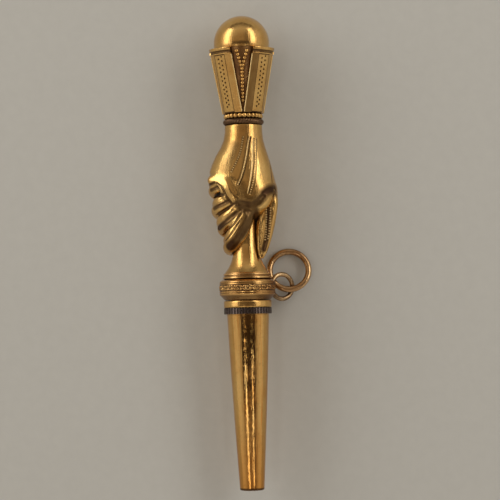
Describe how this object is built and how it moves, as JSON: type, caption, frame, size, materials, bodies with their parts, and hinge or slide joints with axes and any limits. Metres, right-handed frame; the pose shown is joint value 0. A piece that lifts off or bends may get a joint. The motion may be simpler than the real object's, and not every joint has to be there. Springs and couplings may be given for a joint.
{
  "type": "watch key",
  "caption": "Tapered key for winding a pocket watch, shaped as a gloved hand that grips a rod, with a ball end, a swivelling collar and a ring for a chain.",
  "frame": {"origin": "centre of the pipe's open end, on the key's axis", "axes": "+Y along the key's axis from the open end to the ball, +Z out of the back of the hand, +X to the side where the ring lies at rest"},
  "size_m": [0.0109, 0.05, 0.007],
  "materials": {
    "polished_gilt": "polished gilt, worn",
    "hand_gilt": "polished gilt with dark recesses",
    "cuff_gilt": "chased gilt",
    "red_gilt": "reddish gilt, engraved",
    "dark_gilt": "tarnished",
    "blued_steel": "darkened",
    "plain_brass": "turned",
    "pitch_filling": "set pitch"
  },
  "bodies": {
    "key": {"pipe_casing": "polished_gilt", "winding_pipe": "blued_steel", "pipe_collet": "plain_brass", "core_spindle": "plain_brass", "milled_ring": "dark_gilt", "plain_ferrule": "polished_gilt", "swivel_sleeve": "plain_brass", "collar_cap": "red_gilt", "grip_rod": "polished_gilt", "hand_back_shell": "hand_gilt", "hand_palm_shell": "hand_gilt", "hand_filling": "pitch_filling", "thumb": "hand_gilt", "wrist_plug": "plain_brass", "wrist_cord_ring": "dark_gilt", "wrist_bead_ring": "cuff_gilt", "cuff_cone": "dark_gilt", "ball_knob": "polished_gilt", "ball_peg": "plain_brass", "cuff_leaf_1": "cuff_gilt", "cuff_leaf_2": "cuff_gilt", "cuff_leaf_3": "cuff_gilt", "cuff_leaf_4": "cuff_gilt", "gusset_beading_1": "cuff_gilt", "gusset_beading_2": "cuff_gilt", "gusset_beading_3": "cuff_gilt", "gusset_beading_4": "cuff_gilt"},
    "collar": {"swivel_band": "red_gilt", "eye_ring": "red_gilt"},
    "chain_link": {"jump_ring": "red_gilt"}
  },
  "joints": [
    {"name": "collar_swivel", "type": "hinge", "parent": "key", "child": "collar", "pos_m": [0, 0.02133, 0], "axis": [0, 1, 0], "continuous": true},
    {"name": "ring_swing", "type": "hinge", "parent": "collar", "child": "chain_link", "pos_m": [0.00477, 0.02133, -0.00287], "axis": [0, -1, 0], "range_deg": [-4, 112]}
  ]
}
